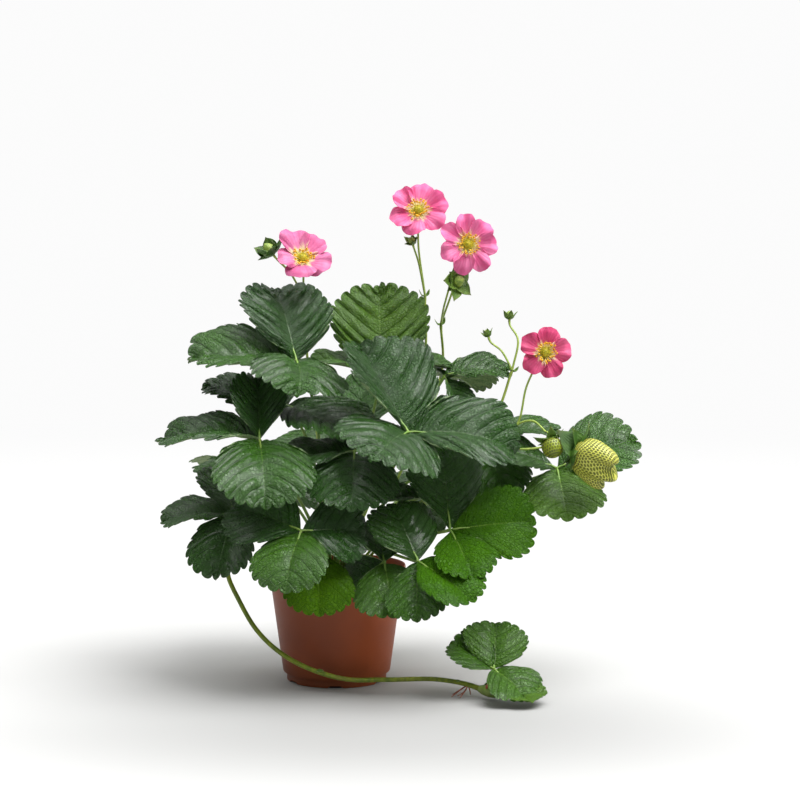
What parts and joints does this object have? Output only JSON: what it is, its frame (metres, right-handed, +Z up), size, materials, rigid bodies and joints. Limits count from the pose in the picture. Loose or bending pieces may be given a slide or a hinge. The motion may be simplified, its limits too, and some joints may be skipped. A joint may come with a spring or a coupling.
{
  "type": "potted strawberry plant",
  "caption": "Leafy strawberry plant in a round plastic nursery pot, with pink flowers, buds, green fruit and a runner that ends in a rooted plantlet.",
  "frame": {"origin": "centre of the pot's foot, on the surface that the pot stands on", "axes": "+Z up, -Y towards the front of the plant, +X towards the plantlet's side; the runner leaves the pot to the left and ends in front on the right"},
  "size_m": [0.4102, 0.3267, 0.4313],
  "materials": {
    "pot": "satin",
    "soil": "matte",
    "leaf": "satin",
    "petal": "matte",
    "flower_middle": "matte",
    "stem": "satin",
    "fruit": "satin"
  },
  "bodies": {
    "root": {"crown": "stem", "flower_left_middle": "flower_middle", "flower_left_petals": "petal", "flower_low_middle": "flower_middle", "flower_low_petals": "petal", "flower_right_middle": "flower_middle", "flower_right_petals": "petal", "flower_top_middle": "flower_middle", "flower_top_petals": "petal", "fruit_large": "fruit", "fruit_small": "fruit", "leaf_back": "leaf", "leaf_back_left": "leaf", "leaf_back_right": "leaf", "leaf_behind_left": "leaf", "leaf_behind_right": "leaf", "leaf_centre": "leaf", "leaf_front": "leaf", "leaf_front_left": "leaf", "leaf_front_right": "leaf", "leaf_left": "leaf", "leaf_left_low": "leaf", "leaf_low_middle": "leaf", "leaf_low_right": "leaf", "leaf_middle": "leaf", "leaf_right": "leaf", "leaf_top_back": "leaf", "leaf_top_left": "leaf", "leaf_top_right": "leaf", "leaf_under_left": "leaf", "plantlet": "leaf", "pot": "pot", "runner": "stem", "soil": "soil", "truss_buds": "stem", "truss_fruit": "stem", "truss_left": "stem", "truss_middle": "stem", "truss_right": "stem"}
  },
  "joints": []
}
